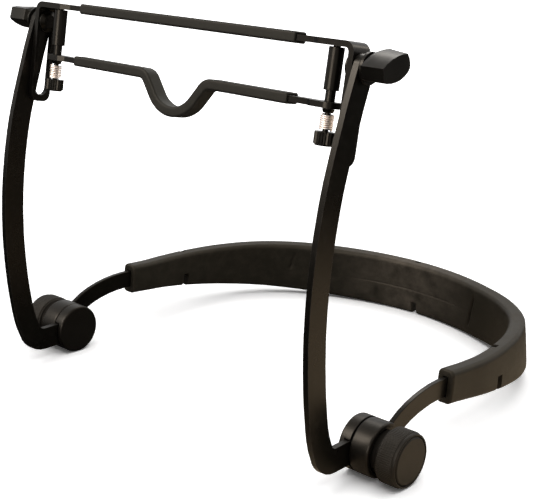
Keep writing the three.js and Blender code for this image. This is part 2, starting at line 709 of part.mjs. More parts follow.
// A leg seen from the side: straight, with rounded lower corners
function legOutline() {
  const half = LEG_W / 2;
  const foot = BAR_Z - LEG_L;
  const r = LEG_CORNER_R;
  const right = arc(half - r, foot + r, r, -Math.PI / 2, 0);
  const left = arc(r - half, foot + r, r, Math.PI, Math.PI * 1.5);
  const top = BAR_Z + JAW_T;
  return polygon([...left, ...right, [half, top], [-half, top]]);
}

function legSlot() {
  const r = LEG_SLOT_W / 2;
  const low = BAR_Z - LEG_L + LEG_SLOT_RAIL + r;
  const points = [...arc(0, low, r, Math.PI, Math.PI * 2), ...arc(0, LEG_SLOT_OVER, r, 0, Math.PI)];
  return prismX(polygon(points), -LEG_OUTER - CUT_OVERRUN, LEG_OUTER + CUT_OVERRUN);
}

// Everything in front of and behind a narrow bar, with a taper up to the wide ends
function neckingCutters(narrowHalfL, height, z) {
  const narrow = JAW_BAR_W / 2;
  const wide = LEG_W / 2;
  const front = polygon([
    [-narrowHalfL - NECKING_L, -wide - CUT_OVERRUN],
    [narrowHalfL + NECKING_L, -wide - CUT_OVERRUN],
    [narrowHalfL + NECKING_L, -wide],
    [narrowHalfL, -narrow],
    [-narrowHalfL, -narrow],
    [-narrowHalfL - NECKING_L, -wide],
  ]);
  const cutter = extruded(front, height).translate(0, 0, z - height / 2);
  return [cutter, cutter.clone().rotateZ(Math.PI)];
}

function upperJawFrameGeometry() {
  const blank = solidOf(prismY(frameOutline(), LEG_W));
  const reach = LEG_OUTER + CUT_OVERRUN;
  const trimmed = blank.intersect(solidOf(prismX(legOutline(), -reach, reach)));
  const tenonHole = uprightDisc(TENON_R + GAP, BAR_UNDERSIDE_Z - CUT_OVERRUN, BAR_Z + JAW_T);
  const wideStart = POST_X - LEG_W / 2 - NECKING_L;
  return geometryOf(cutSolid(
    trimmed,
    legSlot(),
    ...neckingCutters(wideStart, JAW_T * 2, BAR_Z),
    tenonHole.clone().translate(POST_X, 0, 0),
    tenonHole.clone().translate(-POST_X, 0, 0),
  ));
}

function sleeve(line, bore) {
  const outside = prismY(stripOutline(line, SLEEVE_H), SLEEVE_W, SLEEVE_EDGE);
  const tunnel = prismY(stripOutline(bore, JAW_T + SLEEVE_FIT * 2), JAW_BAR_W + SLEEVE_FIT * 2);
  return geometryOf(cut(outside, tunnel));
}

function straightLine(halfL) {
  return [[-halfL, BAR_Z], [0, BAR_Z], [halfL, BAR_Z]];
}

function upperJawSleeveGeometry() {
  return sleeve(straightLine(SLEEVE_HALF_L), straightLine(SLEEVE_HALF_L + CUT_OVERRUN));
}

// The lower jaw's centre line: straight, with a rounded dip in the middle
function dippedLine(halfL) {
  const slope = THREE.MathUtils.degToRad(DIP_SLOPE_DEG);
  const bends = DIP_SHOULDER_R + DIP_BOTTOM_R;
  const straight = (DIP_DEPTH - bends * (1 - Math.cos(slope))) / Math.sin(slope);
  const shoulderX = bends * Math.sin(slope) + straight * Math.cos(slope);
  const shoulder = arc(
    shoulderX, JAW_Z - DIP_SHOULDER_R, DIP_SHOULDER_R, Math.PI / 2, Math.PI / 2 + slope);
  const bottomZ = JAW_Z - DIP_DEPTH + DIP_BOTTOM_R;
  const bottom = arc(0, bottomZ, DIP_BOTTOM_R, -Math.PI / 2 + slope, -Math.PI / 2);
  const right = [[halfL, JAW_Z], ...shoulder, ...bottom];
  const left = right.slice(0, -1).reverse().map(([x, z]) => [-x, z]);
  return [...right, ...left];
}

function lowerJawBarGeometry() {
  const blank = solidOf(prismY(stripOutline(dippedLine(POST_X + EYE_END_R), JAW_T), EYE_END_R * 2));
  const height = DIP_DEPTH * 2 + CUT_OVERRUN * 2;
  const plan = new THREE.Shape();
  plan.absarc(POST_X, 0, EYE_END_R, -Math.PI / 2, Math.PI / 2, false);
  plan.absarc(-POST_X, 0, EYE_END_R, Math.PI / 2, Math.PI * 1.5, false);
  const low = JAW_Z - height / 2;
  const ends = solidOf(extruded(plan, height).translate(0, 0, low));
  const bore = uprightDisc(BUSH_R + GAP, low, low + height);
  const wideStart = POST_X - EYE_END_R - NECKING_L;
  return geometryOf(cutSolid(
    blank.intersect(ends),
    ...neckingCutters(wideStart, height, JAW_Z),
    bore.clone().translate(POST_X, 0, 0),
    bore.clone().translate(-POST_X, 0, 0),
  ));
}

function lowerJawSleeveGeometry() {
  return sleeve(dippedLine(SLEEVE_HALF_L), dippedLine(SLEEVE_HALF_L + CUT_OVERRUN));
}

function guidePostGeometry() {
  const tenonTop = BAR_Z + JAW_T / 2;
  const guideTop = POST_FOOT_Z + POST_GUIDE_L;
  const threadTop = guideTop + POST_THREAD_L;
  return turnedUpright([
    [0, tenonTop],
    [TENON_R, tenonTop],
    [TENON_R, POST_TOP_Z],
    [POST_R, POST_TOP_Z],
    [POST_R, POST_FOOT_Z],
    [BUSH_R + GAP, POST_FOOT_Z],
    [BUSH_R + GAP, guideTop],
    [SCREW_R + GAP, guideTop],
    [SCREW_R + GAP, threadTop],
    [0, threadTop],
  ]);
}

function jawScrewGeometry() {
  const headFoot = SCREW_HEAD_TOP_Z - SCREW_HEAD_L;
  const grip = extruded(knurledOutline(SCREW_HEAD_R, SCREW_KNURL_TEETH), SCREW_HEAD_L - SCREW_HEAD_EDGE)
    .translate(0, 0, headFoot + SCREW_HEAD_EDGE);
  const end = uprightDisc(SCREW_HEAD_R - SCREW_HEAD_EDGE, headFoot, SCREW_HEAD_TOP_Z);
  const tip = POST_FOOT_Z + POST_GUIDE_L + POST_THREAD_L - GAP;
  const shank = uprightDisc(SCREW_R, headFoot + SCREW_HEAD_EDGE, tip);
  return geometryOf(solidOf(grip).add(solidOf(end)).add(solidOf(shank)));
}

// The bush in the jaw's eye: it slides in the post and stands on the spring
function guideBushGeometry() {
  const bore = SCREW_R + GAP;
  const top = POST_FOOT_Z + BUSH_IN_POST_L;
  return turnedUpright([
    [bore, BUSH_FOOT_Z],
    [BUSH_R, BUSH_FOOT_Z],
    [BUSH_COLLAR_R, BUSH_COLLAR_TOP_Z],
    [BUSH_R, BUSH_COLLAR_TOP_Z],
    [BUSH_R, top],
    [bore, top],
    [bore, BUSH_FOOT_Z],
  ]);
}

// Centre line of the spring's wire: a helix whose two ends run straight for one wire thickness
function springLine() {
  const low = SPRING_TOP_Z - SPRING_L;
  const rise = SPRING_L - SPRING_WIRE * 2;
  const steps = Math.round(SPRING_TURNS * WIRE_STEPS_PER_TURN);
  const coil = Array.from({ length: steps + 1 }, (_, k) => {
    const angle = (Math.PI * 2 * k) / WIRE_STEPS_PER_TURN;
    const z = low + SPRING_WIRE + (rise * k) / steps;
    return new THREE.Vector3(SPRING_R * Math.cos(angle), SPRING_R * Math.sin(angle), z);
  });
  const start = coil[0].clone().setZ(low);
  const end = coil[steps].clone().setZ(low + SPRING_L);
  return [start, ...coil, end];
}

// Least gap between the wire's turns, measured on points at least half a turn apart
function springGap(points) {
  let least = Infinity;
  points.forEach((a, i) => {
    for (let j = i + Math.ceil(WIRE_STEPS_PER_TURN / 2); j < points.length; j += 1) {
      const b = points[j];
      const previous = points[j - 1];
      const nearest = new THREE.Line3(previous, b).closestPointToPoint(a, true, new THREE.Vector3());
      least = Math.min(least, nearest.distanceTo(a) - SPRING_WIRE);
    }
  });
  return least;
}

function springGeometry() {
  const line = springLine();
  const rings = line.map((place, k) => {
    const isEnd = k === 0 || k === line.length - 1;
    const angle = Math.atan2(place.y, place.x);
    const outward = new THREE.Vector3(Math.cos(angle), Math.sin(angle), 0);
    const around = new THREE.Vector3(-outward.y, outward.x, 0);
    const nearEnd = k === 1 || k === line.length - 2;
    const up = new THREE.Vector3(0, 0, 1);
    const side = isEnd ? around.clone().negate() : up.clone();
    if (nearEnd) side.addScaledVector(around, -1).normalize();
    return Array.from({ length: WIRE_SIDES }, (_, j) => {
      const turn = (Math.PI * 2 * j) / WIRE_SIDES;
      return place.clone().addScaledVector(outward, (Math.cos(turn) * SPRING_WIRE) / 2)
        .addScaledVector(side, (Math.sin(turn) * SPRING_WIRE) / 2);
    });
  });
  return loft(rings);
}

// Assembly

const holder = new THREE.Group();
const clamp = new THREE.Group();
clamp.position.set(0, BOLT_Y, BOLT_Z);
clamp.rotation.x = CLAMP_TILT;
holder.add(clamp);
const boltAxis = new THREE.Group();
boltAxis.position.set(0, BOLT_Y, BOLT_Z);
holder.add(boltAxis);

function place(parent, name, geometry, material) {
  const mesh = new THREE.Mesh(geometryOf(solidOf(geometry)), material);
  mesh.name = name;
  parent.add(mesh);
  return mesh;
}

// A piece on the right and its mirror image on the left
function placePair(parent, name, geometry, material) {
  place(parent, `${name}_right`, geometry, material);
  place(parent, `${name}_left`, mirrored(geometry), material);
}

place(holder, 'neck_strip', neckStripGeometry(), blackMetal);
place(holder, 'neck_pad', neckPadGeometry(), padRubber);
placePair(holder, 'band_hub', bandHubGeometry(), blackPlastic);
placePair(holder, 'friction_washer', frictionWasherGeometry(), nylon);
placePair(holder, 'joint_bolt', jointBoltGeometry(), nickel);
placePair(holder, 'joint_knob', jointKnobGeometry(), blackPlastic);
placePair(holder, 'knob_insert', knobInsertGeometry(), brass);
placePair(holder, 'knob_badge', knobBadgeGeometry(), blackPlastic);
placePair(holder, 'arm', armGeometry(), blackMetal);
placePair(holder, 'arm_hub_cap', armHubCapGeometry(), blackPlastic);
placePair(boltAxis, 'slot_bolt', slotBoltGeometry().rotateX(CLAMP_TILT), blackMetal);
for (const [name, geometry, material] of [
  ['wing_knob', wingKnobGeometry(), blackPlastic],
  ['wing_insert', wingInsertGeometry(), brass],
]) {
  const leftTurn = THREE.MathUtils.degToRad(LEFT_WING_TURN_DEG);
  place(boltAxis, `${name}_right`, geometry, material);
  place(boltAxis, `${name}_left`, mirrored(geometry).rotateX(leftTurn), material);
}
place(clamp, 'upper_jaw_frame', upperJawFrameGeometry(), blackMetal);
place(clamp, 'upper_jaw_sleeve', upperJawSleeveGeometry(), sleeveRubber);
place(clamp, 'lower_jaw_bar', lowerJawBarGeometry(), blackMetal);
place(clamp, 'lower_jaw_sleeve', lowerJawSleeveGeometry(), sleeveRubber);
for (const [side, sign] of [['left', -1], ['right', 1]]) {
  const post = new THREE.Group();
  post.position.x = POST_X * sign;
  clamp.add(post);
  place(post, `guide_post_${side}`, guidePostGeometry(), blackMetal);
  place(post, `jaw_screw_${side}`, jawScrewGeometry(), blackMetal);
  place(post, `guide_bush_${side}`, guideBushGeometry(), blackMetal);
  place(post, `jaw_spring_${side}`, springGeometry(), nickel);
}
const middle = new THREE.Box3().setFromObject(holder).getCenter(new THREE.Vector3());
holder.position.y = -middle.y;
holder.updateMatrixWorld(true);
console.log(`least gap between the spring's turns: ${springGap(springLine()).toFixed(2)} mm`);

export default holder;
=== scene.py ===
"""Looks of a neck-worn harmonica holder: finishes, the rubber mouldings, the knobs, the springs and the light."""
import bisect
import math

import bmesh
import bpy
from mathutils import Matrix, Vector


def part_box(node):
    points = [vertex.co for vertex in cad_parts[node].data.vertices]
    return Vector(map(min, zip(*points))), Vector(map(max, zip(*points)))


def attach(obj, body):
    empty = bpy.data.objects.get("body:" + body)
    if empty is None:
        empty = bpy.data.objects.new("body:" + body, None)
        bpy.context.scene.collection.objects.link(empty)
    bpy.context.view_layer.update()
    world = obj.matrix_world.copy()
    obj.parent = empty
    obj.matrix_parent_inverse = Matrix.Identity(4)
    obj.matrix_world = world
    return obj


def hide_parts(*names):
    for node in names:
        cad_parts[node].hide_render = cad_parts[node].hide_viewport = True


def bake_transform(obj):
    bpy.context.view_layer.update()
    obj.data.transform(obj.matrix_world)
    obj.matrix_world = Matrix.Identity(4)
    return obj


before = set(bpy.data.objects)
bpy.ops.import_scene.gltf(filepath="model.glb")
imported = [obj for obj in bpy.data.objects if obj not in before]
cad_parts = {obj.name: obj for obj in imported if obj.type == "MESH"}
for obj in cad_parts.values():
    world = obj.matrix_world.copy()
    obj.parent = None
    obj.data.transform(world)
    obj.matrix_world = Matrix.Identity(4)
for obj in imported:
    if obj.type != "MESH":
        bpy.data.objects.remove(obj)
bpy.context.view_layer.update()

MM = 0.001
SIDES = ("left", "right")


def middle(node):
    low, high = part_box(node)
    return Vector([(a + b) / 2 for a, b in zip(low, high)])


# The joints' axis and the clamp's axis, both along X, and the clamp's own frame
JOINT = middle("friction_washer_right")
CLAMP_TILT = math.radians(-8.5)
BOLT = middle("slot_bolt_right")
CLAMP = Matrix.Translation((0, BOLT.y, BOLT.z)) @ Matrix.Rotation(CLAMP_TILT, 4, "X")

# Camera: the photograph's place, turn and framing
IMAGE_W, IMAGE_H = 550, 499
CAMERA_AT = Vector((299.6 * MM, JOINT.y - 311.96 * MM, 198.45 * MM))
CAMERA_RIGHT = Vector((0.74301, 0.66866, 0.02902))
CAMERA_UP = Vector((-0.23718, 0.22251, 0.94564))
FOCAL_PIXELS = 1148.3
AXIS_PIXEL = (250.18, 287.65)
SENSOR = 36.0


def make_camera():
    data = bpy.data.cameras.new("photo_view")
    data.sensor_width = SENSOR
    data.lens = SENSOR * FOCAL_PIXELS / IMAGE_W
    data.shift_x = (IMAGE_W / 2 - AXIS_PIXEL[0]) / IMAGE_W
    data.shift_y = (AXIS_PIXEL[1] - IMAGE_H / 2) / IMAGE_W
    data.clip_start = 0.01
    data.clip_end = 20
    camera = bpy.data.objects.new("photo_view", data)
    back = CAMERA_RIGHT.cross(CAMERA_UP)
    turn = Matrix((CAMERA_RIGHT, CAMERA_UP, back)).transposed()
    camera.matrix_world = Matrix.Translation(CAMERA_AT) @ turn.to_4x4()
    bpy.context.scene.collection.objects.link(camera)
    bpy.context.scene.camera = camera


make_camera()


# Shader nodes

class Socket:
    """One output of a shader node; + - and * on it add Math nodes."""

    def __init__(self, finish, socket):
        self.finish = finish
        self.socket = socket

    def maths(self, operation, first, second):
        return self.finish.node("ShaderNodeMath", {"operation": operation}, {0: first, 1: second})

    def __add__(self, other):
        return self.maths("ADD", self, other)

    def __sub__(self, other):
        return self.maths("SUBTRACT", self, other)

    def __rsub__(self, other):
        return self.maths("SUBTRACT", other, self)

    def __mul__(self, other):
        return self.maths("MULTIPLY", self, other)

    __radd__ = __add__
    __rmul__ = __mul__

    def within(self, low, high):
        """The share of the way from low to high, kept between 0 and 1."""
        settings = {"clamp": True}
        inputs = {"Value": self, "From Min": low, "From Max": high, "To Min": 0.0, "To Max": 1.0}
        return self.finish.node("ShaderNodeMapRange", settings, inputs)


class Finish:
    """A material in the making."""

    def __init__(self, name, tree=None):
        if tree is None:
            self.material = bpy.data.materials.new(name)
            self.material.use_nodes = True
            tree = self.material.node_tree
        self.tree = tree
        self.tree.nodes.clear()

    def node(self, kind, settings=None, inputs=None, output=0):
        """A node of that type: its settings first, then the values or links of its sockets."""
        made = self.tree.nodes.new(kind)
        for key, value in (settings or {}).items():
            setattr(made, key, value)
        for key, value in (inputs or {}).items():
            socket = made.inputs[key]
            if isinstance(value, Socket):
                self.tree.links.new(value.socket, socket)
            else:
                socket.default_value = value
        return Socket(self, made.outputs[output])

    def place(self):
        return self.node("ShaderNodeTexCoord", output="Object")

    def noise(self, size, detail=2.0, rough=0.5, stretch=(1, 1, 1)):
        """Noise from 0 to 1 whose patches are about that many millimetres wide."""
        at = self.node("ShaderNodeMapping", {}, {"Vector": self.place(), "Scale": stretch})
        inputs = {"Vector": at, "Scale": 1 / (size * MM), "Detail": detail, "Roughness": rough}
        return self.node("ShaderNodeTexNoise", {}, inputs, "Fac")

    def mix(self, share, low, high):
        """A colour between two, each a link or plain red, green and blue."""
        ends = [c if isinstance(c, Socket) else (*c, 1) for c in (low, high)]
        inputs = {0: share, 6: ends[0], 7: ends[1]}
        return self.node("ShaderNodeMix", {"data_type": "RGBA"}, inputs, 2)

    def bump(self, height, depth, strength):
        inputs = {"Height": height, "Distance": depth * MM, "Strength": strength}
        return self.node("ShaderNodeBump", {}, inputs)

    def distance(self, centre):
        away = {0: self.place(), 1: centre}
        return self.node("ShaderNodeVectorMath", {"operation": "DISTANCE"}, away, "Value")

    def edges(self, reach):
        """Near 1 along outer and inner edges, 0 on the open faces."""
        rounded = self.node("ShaderNodeBevel", {"samples": 6}, {"Radius": reach * MM})
        flat = self.node("ShaderNodeNewGeometry", output="Normal")
        along = self.node("ShaderNodeVectorMath", {"operation": "DOT_PRODUCT"}, {0: rounded, 1: flat}, "Value")
        return (1 - along).within(0.01, 0.12)

    def shade(self, **values):
        """The Principled shader; words joined by _ name its sockets."""
        inputs = {}
        for key, value in values.items():
            name = key.replace("_", " ").title().replace("Ior", "IOR")
            plain_colour = isinstance(value, tuple) and len(value) == 3
            inputs[name] = (*value, 1) if plain_colour else value
        shader = self.node("ShaderNodeBsdfPrincipled", {}, inputs, "BSDF")
        self.node_out(shader)
        return self.material

    def node_out(self, shader):
        made = self.tree.nodes.new("ShaderNodeOutputMaterial")
        self.tree.links.new(shader.socket, made.inputs["Surface"])


# Low, so that the dark finishes stay black in a white room
WARM_SHEEN = {"specular_tint": (1.0, 0.86, 0.70), "specular_ior_level": 0.16}
NECK_AT = (-0.002, JOINT.y + 0.150, 0.016)  # where the pad lies against the neck
# The paler patch on the pad's inner face is partly real wear and partly painted light, made paler to stand in for
# light on that face
WORN_AND_LIT_REACH = (0.012, 0.042)
WORN_AND_LIT_COLOUR = (0.086, 0.069, 0.052)


def powder_coat():
    """Near-black satin powder coat on steel: fine orange peel, dust in patches, rubbed edges."""
    f = Finish("powder_coat")
    broad = f.noise(14, 3, 0.6)
    peel = f.noise(0.55, 2, 0.5)
    fine = f.noise(0.16, 2, 0.6)
    dust = f.noise(2.2, 4, 0.7).within(0.52, 0.8)
    rubbed = f.edges(0.35) * f.noise(1.6, 3, 0.6).within(0.35, 0.7)
    coat = f.mix(broad, (0.0020, 0.0018, 0.0014), (0.0050, 0.0043, 0.0034))
    dusty = f.mix(dust * 0.18, coat, (0.03, 0.026, 0.021))
    colour = f.mix(rubbed * 0.4, dusty, (0.11, 0.10, 0.09))
    rough = 0.24 + broad * 0.08 + dust * 0.08 + rubbed * 0.05
    normal = f.bump(peel * 0.8 + fine * 0.2, 0.004, 0.16)
    return f.shade(base_color=colour, roughness=rough, normal=normal, **WARM_SHEEN)


def moulded(name, painted_dark, light, low_rough, grain=0.5, depth=0.012):
    """Moulded black plastic: soft sheen, very fine texture, faint handling marks."""
    f = Finish(name)
    broad = f.noise(9, 3, 0.6)
    texture = f.noise(grain, 3, 0.55)
    scuffs = f.noise(1.1, 4, 0.7, (1, 6, 1)).within(0.6, 0.75)
    rubbed = f.edges(0.3) * f.noise(1.2, 3, 0.6).within(0.4, 0.7)
    body = f.mix(broad, painted_dark, light)
    colour = f.mix(rubbed * 0.35 + scuffs * 0.12, body, tuple(c * 5 + 0.01 for c in light))
    rough = low_rough + broad * 0.12 + scuffs * 0.08
    normal = f.bump(texture, depth, 0.5)
    return f.shade(base_color=colour, roughness=rough, normal=normal, **WARM_SHEEN)


def rubber(name, painted_dark, light, low_rough, grain, depth, worn_and_lit_at=None):
    """Matt rubber: grain, a little bloom, rubbed edges, and a paler patch that is partly wear and partly painted
    light.
    """
    f = Finish(name)
    broad = f.noise(22, 4, 0.6)
    bloom = f.noise(5, 5, 0.7).within(0.45, 0.75)
    pores = f.noise(grain, 3, 0.6)
    rubbed = f.edges(0.5) * f.noise(3, 3, 0.6).within(0.3, 0.7)
    body = f.mix(broad, painted_dark, light)
    if worn_and_lit_at:
        # Paler patch on the pad's inner face: partly wear, partly painted light
        worn_and_lit = (1 - f.distance(worn_and_lit_at).within(*WORN_AND_LIT_REACH)) * f.noise(9, 4, 0.65).within(0.25, 0.7)
        body = f.mix(worn_and_lit * 0.9, body, WORN_AND_LIT_COLOUR)
    bloomed = f.mix(bloom * 0.3, body, tuple(c * 2.2 for c in light))
    colour = f.mix(rubbed * 0.3, bloomed, tuple(c * 3 for c in light))
    rough = low_rough + bloom * 0.1 + broad * 0.08
    normal = f.bump(pores, depth, 0.6)
    return f.shade(base_color=colour, roughness=rough, normal=normal, **WARM_SHEEN)


def plated(name, colour, low_rough):
    """Plated steel: fine drawn lines and a little tarnish."""
    f = Finish(name)
    stain = f.noise(1.5, 4, 0.7).within(0.45, 0.8)
    lines = f.noise(0.12, 2, 0.5, (1, 1, 12))
    tone = f.mix(stain * 0.5, colour, tuple(c * w for c, w in zip(colour, (0.62, 0.5, 0.38))))
    rough = low_rough + stain * 0.2
    normal = f.bump(lines, 0.006, 0.4)
    return f.shade(base_color=tone, roughness=rough, metallic=0.85, normal=normal)


FINISHES = {
    "powder": powder_coat(),
    "hub": moulded("hub_plastic", (0.004, 0.0034, 0.0027), (0.008, 0.0067, 0.0053), 0.30, 1.4, 0.02),
    "knob": moulded("knob_plastic", (0.006, 0.0053, 0.0044), (0.011, 0.0096, 0.0079), 0.44),
    "wing": moulded("wing_plastic", (0.003, 0.0027, 0.0022), (0.007, 0.0063, 0.0052), 0.27, 0.3, 0.008),
    "pad": rubber("pad_rubber", (0.0090, 0.0082, 0.0052), (0.0205, 0.0167, 0.0118), 0.46, 0.35, 0.02, NECK_AT),
    "sleeve": rubber("sleeve_rubber", (0.0095, 0.0092, 0.0075), (0.0155, 0.0150, 0.0122), 0.5, 0.3, 0.02),
    "nickel": plated("bright_nickel", (0.90, 0.78, 0.70), 0.36),
    "brass": plated("turned_brass", (0.75, 0.58, 0.30), 0.24),
    "nylon": moulded("washer_nylon", (0.02, 0.0195, 0.018), (0.03, 0.029, 0.027), 0.4),
}
NODE_FINISH = {
    "neck_strip": "powder", "arm": "powder", "slot_bolt": "powder", "guide_post": "powder",
    "jaw_screw": "powder", "upper_jaw_frame": "powder", "lower_jaw_bar": "powder",
    "band_hub": "hub", "arm_hub_cap": "hub", "joint_knob": "knob", "knob_badge": "knob",
    "wing_knob": "wing", "neck_pad": "pad", "upper_jaw_sleeve": "sleeve", "lower_jaw_sleeve": "sleeve",
    "joint_bolt": "nickel", "jaw_spring": "nickel", "guide_bush": "powder",
    "knob_insert": "brass", "wing_insert": "brass", "friction_washer": "nylon",
}


def kind_of(node):
    for side in SIDES:
        node = node.removesuffix("_" + side)
    return node


# Rounded edges of the rigid pieces, in millimetres
EDGE_ROUND = {
    "arm": 0.35, "upper_jaw_frame": 0.25, "lower_jaw_bar": 0.25, "neck_strip": 0.3, "wing_knob": 0.45,
    "band_hub": 0.15, "arm_hub_cap": 0.2, "joint_knob": 0.12, "knob_badge": 0.1, "guide_post": 0.2,
    "jaw_screw": 0.15, "slot_bolt": 0.15, "guide_bush": 0.1, "joint_bolt": 0.15,
}


def even_shading(piece, weight=50):
    normals = piece.modifiers.new("even_shading", "WEIGHTED_NORMAL")
    normals.keep_sharp = False
    normals.weight = weight


def round_edges(piece, width, angle):
    edge = piece.modifiers.new("rounded_edges", "BEVEL")
    edge.width = width * MM
    edge.segments = 2
    edge.limit_method = "ANGLE"
    edge.angle_limit = math.radians(angle)
    return edge


def dress(node):
    """Finish, rounded edges and smooth shading of a solid that stays as it is."""
    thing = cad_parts[node]
    kind = kind_of(node)
    thing.data.materials.clear()
    thing.data.materials.append(FINISHES[NODE_FINISH[kind]])
    for polygon in thing.data.polygons:
        polygon.use_smooth = True
    weld = thing.modifiers.new("weld", "WELD")
    weld.merge_threshold = 0.002 * MM
    if kind in EDGE_ROUND:
        flat = thing.modifiers.new("flat_faces", "DECIMATE")
        flat.decimate_type = "DISSOLVE"
        flat.angle_limit = math.radians(1.5)
        round_edges(thing, EDGE_ROUND[kind], 28).miter_outer = "MITER_ARC"
    even_shading(thing, 60)


for node_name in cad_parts:
    dress(node_name)


def new_piece(name, mesh, finish, body, slot, *replaced):
    """A detailed piece in its finish, in the place of the solids that it stands for."""
    piece = bpy.data.objects.new(name, mesh)
    bpy.context.scene.collection.objects.link(piece)
    mesh.materials.append(FINISHES[finish])
    for polygon in mesh.polygons:
        polygon.use_smooth = True
    if body:
        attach(piece, body)
    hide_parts(*replaced)
    return piece


# Meshes through rings of points, all in millimetres

def skin(name, rings, turn=None, joined=False):
    """A closed mesh through rings; its ends are capped, or joined to each other."""
    count = len(rings[0])
    points = [Vector(point) * MM for ring in rings for point in ring]
    if turn is not None:
        points = [turn @ point for point in points]
    faces = []
    for k in range(len(rings) if joined else len(rings) - 1):
        low = k * count
        high = (k + 1) % len(rings) * count
        for j in range(count):
            after = (j + 1) % count
            faces.append((low + j, low + after, high + after, high + j))
    if not joined:
        faces.append(tuple(range(count)))
        faces.append(tuple(range((len(rings) - 1) * count, len(rings) * count)))
    form = bmesh.new()
    mesh = bpy.data.meshes.new(name)
    mesh.from_pydata(points, [], faces)
    form.from_mesh(mesh)
    bmesh.ops.recalc_face_normals(form, faces=form.faces)
    form.to_mesh(mesh)
    form.free()
    return mesh


def round_box(half_w, half_h, radius, corner_steps=6, wide_steps=2, tall_steps=2):
    """Points around a box with round corners, counter-clockwise from the right side's foot."""
    w = half_w - radius
    h = half_h - radius
    corners = ((w, h, 0), (-w, h, 1), (-w, -h, 2), (w, -h, 3))
    points = []
    for k, (x, y, quarter) in enumerate(corners):
        for step in range(corner_steps + 1):
            angle = math.pi / 2 * (quarter + step / corner_steps)
            points.append((x + radius * math.cos(angle), y + radius * math.sin(angle)))
        here = points[-1]
        x_next, y_next, quarter_next = corners[(k + 1) % 4]
        angle = math.pi / 2 * quarter_next
        there = (x_next + radius * math.cos(angle), y_next + radius * math.sin(angle))
        steps = tall_steps if k % 2 else wide_steps
        for step in range(1, steps):
            share = step / steps
            points.append((here[0] + (there[0] - here[0]) * share, here[1] + (there[1] - here[1]) * share))
    return points


def lips(radius, steps):
    """Inset and setback of the rings that round an end over, from the end face outwards."""
    turns = [math.pi / 2 * k / steps for k in range(steps + 1)]
    return [(radius * (1 - math.sin(a)), radius * (1 - math.cos(a))) for a in turns]


def bell(value, centre, width):
    return math.exp(-((value - centre) / width) ** 2)


def span(value, centre, reach):
    """1 over most of the reach to both sides of the centre, 0 beyond it."""
    return math.exp(-abs((value - centre) / reach) ** 6)


# Neck pad: the centre line of the band, as in the CAD

BAND_EYE_X = 89
BAND_DEPTH = 155
BAND_REAR_LIFT = 13.6
BAND_PEAK_RISE = 9.3
BAND_LINE_SHARES = (
    (0.249, 0.981, 0.03), (0.484, 0.933, 0.09), (0.691, 0.868, 0.17), (0.853, 0.775, 0.29),
    (0.954, 0.652, 0.46), (1.002, 0.525, 0.63), (1.015, 0.419, 0.76), (1.007, 0.335, 0.87),
    (1.001, 0.271, 0.97), (1, 0.219, 1), (1, 0.181, 0.96), (1, 0.129, 0.81), (1, 0.077, 0.51),
)
PAD_T = 7
PAD_REAR_H = 27
PAD_END_H = 13.8
PAD_CORNER_R = 2
PAD_LEAN = math.radians(8)
PAD_END_SHARE = 0.795
PAD_STATIONS = 300
PAD_LEVELS = 48
STRIP_T = 2
STRIP_W = 7.9
TUNNEL_FIT = 0.3


class Band:
    """The smooth line of the neck band, measured by its length from the left joint to the right one."""

    def __init__(self, steps=24):
        half = [Vector((BAND_EYE_X * side, BAND_DEPTH * depth, BAND_REAR_LIFT + BAND_PEAK_RISE * rise))
                for side, depth, rise in BAND_LINE_SHARES]
        half.append(Vector((BAND_EYE_X, 0, JOINT.z / MM)))
        left = [Vector((-p.x, p.y, p.z)) for p in reversed(half)]
        line = [*left, Vector((0, BAND_DEPTH, BAND_REAR_LIFT)), *half]
        line = [p + Vector((0, JOINT.y / MM, 0)) for p in line]
        ends = [line[0] * 2 - line[1], *line, line[-1] * 2 - line[-2]]
        self.places = []
        for four in zip(ends, ends[1:], ends[2:], ends[3:]):
            self.places += [self.between(four, k / steps) for k in range(steps)]
        self.places.append(line[-1])
        self.marks = [0.0]
        for a, b in zip(self.places, self.places[1:]):
            self.marks.append(self.marks[-1] + (b - a).length)

    @staticmethod
    def between(four, share):
        """A point of the centripetal curve between the second and third of four points."""
        before, first, second, after = four
        gaps = [max(math.sqrt((b - a).length), 1e-6) for a, b in zip(four, four[1:])]
        leave = (first - before) / gaps[0] - (second - before) / (gaps[0] + gaps[1]) + (second - first) / gaps[1]
        reach = (second - first) / gaps[1] - (after - first) / (gaps[1] + gaps[2]) + (after - second) / gaps[2]
        leave *= gaps[1]
        reach *= gaps[1]
        square = share * share
        cube = square * share
        return (first * (2 * cube - 3 * square + 1) + leave * (cube - 2 * square + share)
                + second * (3 * square - 2 * cube) + reach * (cube - square))

    def at(self, share):
        """The place at a share from -1, the left joint, over 0, the back, to 1, the right joint."""
        length = (share + 1) / 2 * self.marks[-1]
        k = min(max(bisect.bisect_left(self.marks, length), 1), len(self.marks) - 1)
        part = (length - self.marks[k - 1]) / (self.marks[k] - self.marks[k - 1])
        return self.places[k - 1].lerp(self.places[k], part)

    def frame(self, share):
        """Place, along, towards the neck, and up."""
        along = (self.at(share + 0.004) - self.at(share - 0.004)).normalized()
        up = (Vector((0, 0, 1)) - along * along.z).normalized()
        return self.at(share), along, -up.cross(along).normalized(), up

    def ring(self, share, points, setback=0.0):
        place, along, near, up = self.frame(share)
        return [place + along * setback + near * n + up * h for n, h in points]


BAND = Band()


def pad_ease(share):
    """0 at the back, 1 at the pad's ends; the pad keeps its height well into the bends."""
    way = min(abs(share) / PAD_END_SHARE, 1) ** 1.6
    return way * way * (3 - way * 2)


def pad_height(share):
    return PAD_REAR_H + (PAD_END_H - PAD_REAR_H) * pad_ease(share)


def pad_lean(share):
    """How far the pad leans in at its top: most at the back, not at all at its ends."""
    return PAD_LEAN * (1 - pad_ease(share) ** 2)


